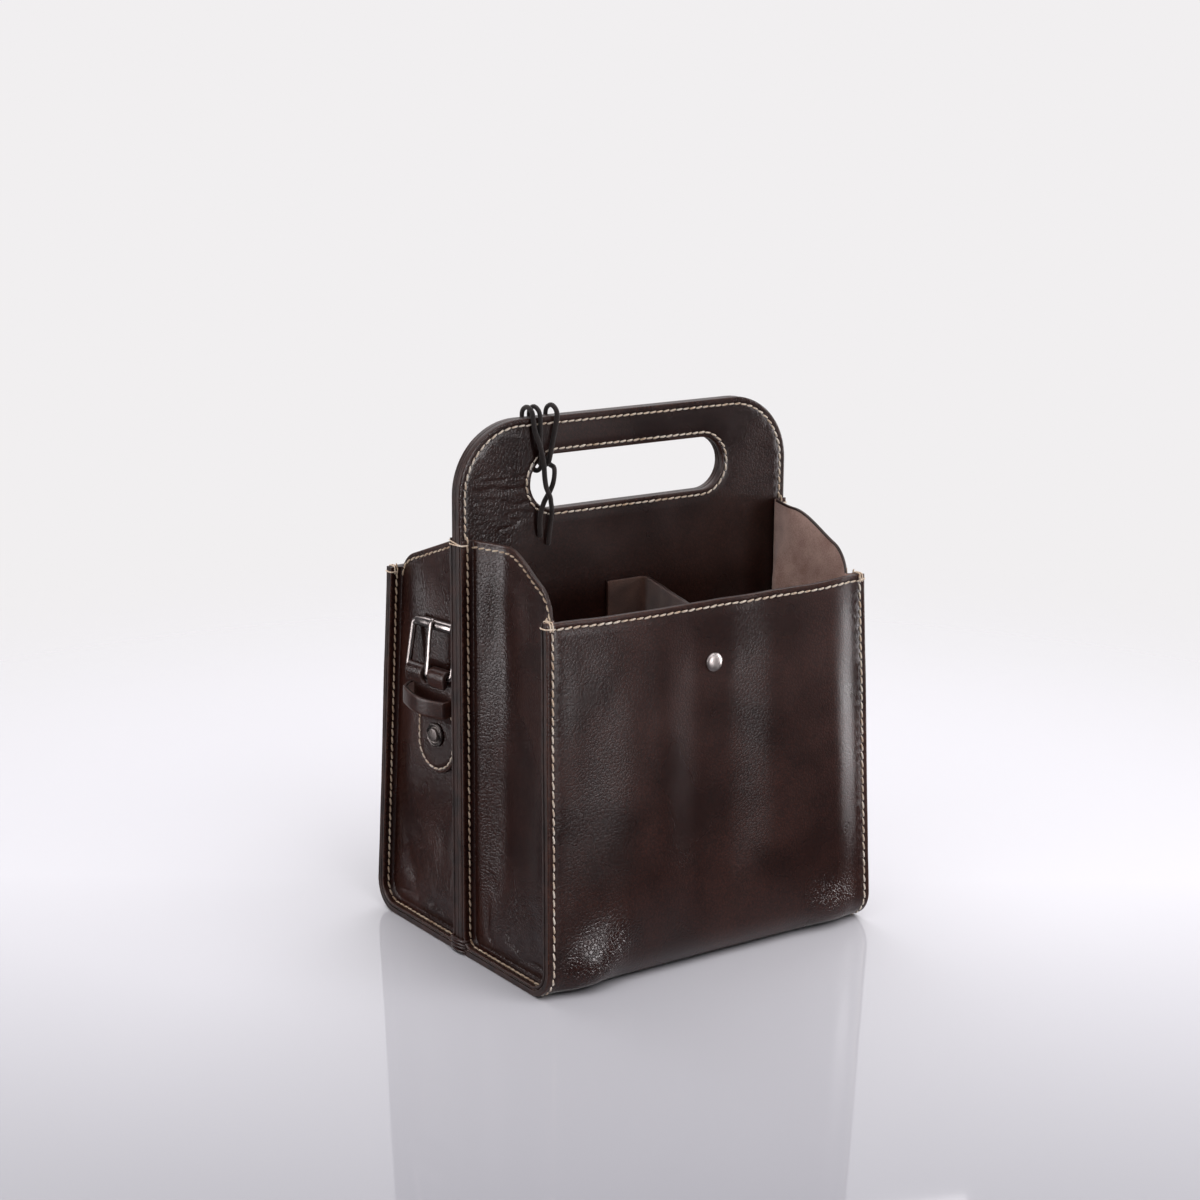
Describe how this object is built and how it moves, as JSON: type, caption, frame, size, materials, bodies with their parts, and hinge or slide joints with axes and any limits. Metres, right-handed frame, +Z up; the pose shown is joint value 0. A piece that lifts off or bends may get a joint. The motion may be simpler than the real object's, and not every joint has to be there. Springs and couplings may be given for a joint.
{
  "type": "wine bottle bag",
  "caption": "Leather carrier with an outer sheet folded round a divider with a hand hole, thin gussets, separators and roller buckles at its ends.",
  "frame": {"origin": "middle of the bag's bottom, on the surface that it stands on", "axes": "+Z up; the front panel faces -Y; +X is to the right seen from the front, along the divider"},
  "size_m": [0.205, 0.1602, 0.2695],
  "materials": {
    "bridle_leather": "glossy dark brown full-grain leather",
    "separator_leather": "matt brown leather, flesh side showing",
    "lace_leather": "matt black-brown leather lace",
    "nickel": "polished nickel plate",
    "gunmetal": "dark nickel plate"
  },
  "bodies": {
    "carrier": {"outer_sheet": "bridle_leather", "gusset_front_left": "bridle_leather", "gusset_front_right": "bridle_leather", "gusset_rear_left": "bridle_leather", "gusset_rear_right": "bridle_leather", "divider_front_layer": "bridle_leather", "divider_rear_layer": "bridle_leather", "separator_front": "separator_leather", "separator_rear": "separator_leather", "front_rivet_cap": "nickel", "front_rivet_back": "nickel", "rear_rivet_cap": "nickel", "rear_rivet_back": "nickel", "divider_rivet_cap": "nickel", "divider_rivet_back": "nickel", "left_tab": "bridle_leather", "left_keeper": "bridle_leather", "left_tab_rivet_cap": "gunmetal", "left_tab_rivet_back": "gunmetal", "right_tab": "bridle_leather", "right_keeper": "bridle_leather", "right_tab_rivet_cap": "gunmetal", "right_tab_rivet_back": "gunmetal", "lace": "lace_leather"},
    "left_frame": {"left_buckle_frame": "nickel"},
    "left_roller": {"left_buckle_roller": "nickel"},
    "left_prong": {"left_buckle_prong": "nickel"},
    "right_frame": {"right_buckle_frame": "nickel"},
    "right_roller": {"right_buckle_roller": "nickel"},
    "right_prong": {"right_buckle_prong": "nickel"}
  },
  "joints": [
    {"name": "left_frame_hinge", "type": "hinge", "parent": "carrier", "child": "left_frame", "pos_m": [-0.09431, 0.03213, 0.13483], "axis": [0.1386, -0.9903, 0], "range_deg": [0, 60]},
    {"name": "left_prong_hinge", "type": "hinge", "parent": "left_frame", "child": "left_prong", "pos_m": [-0.09431, 0.03213, 0.13483], "axis": [0.1386, -0.9903, 0], "range_deg": [0, 50]},
    {"name": "left_roller_spin", "type": "hinge", "parent": "left_frame", "child": "left_roller", "pos_m": [-0.09011, 0.03272, 0.15876], "axis": [0.1386, -0.9903, 0], "continuous": true},
    {"name": "right_frame_hinge", "type": "hinge", "parent": "carrier", "child": "right_frame", "pos_m": [0.09431, -0.03213, 0.13483], "axis": [-0.1386, 0.9903, 0], "range_deg": [0, 60]},
    {"name": "right_prong_hinge", "type": "hinge", "parent": "right_frame", "child": "right_prong", "pos_m": [0.09431, -0.03213, 0.13483], "axis": [-0.1386, 0.9903, 0], "range_deg": [0, 50]},
    {"name": "right_roller_spin", "type": "hinge", "parent": "right_frame", "child": "right_roller", "pos_m": [0.09011, -0.03272, 0.15876], "axis": [-0.1386, 0.9903, 0], "continuous": true}
  ]
}
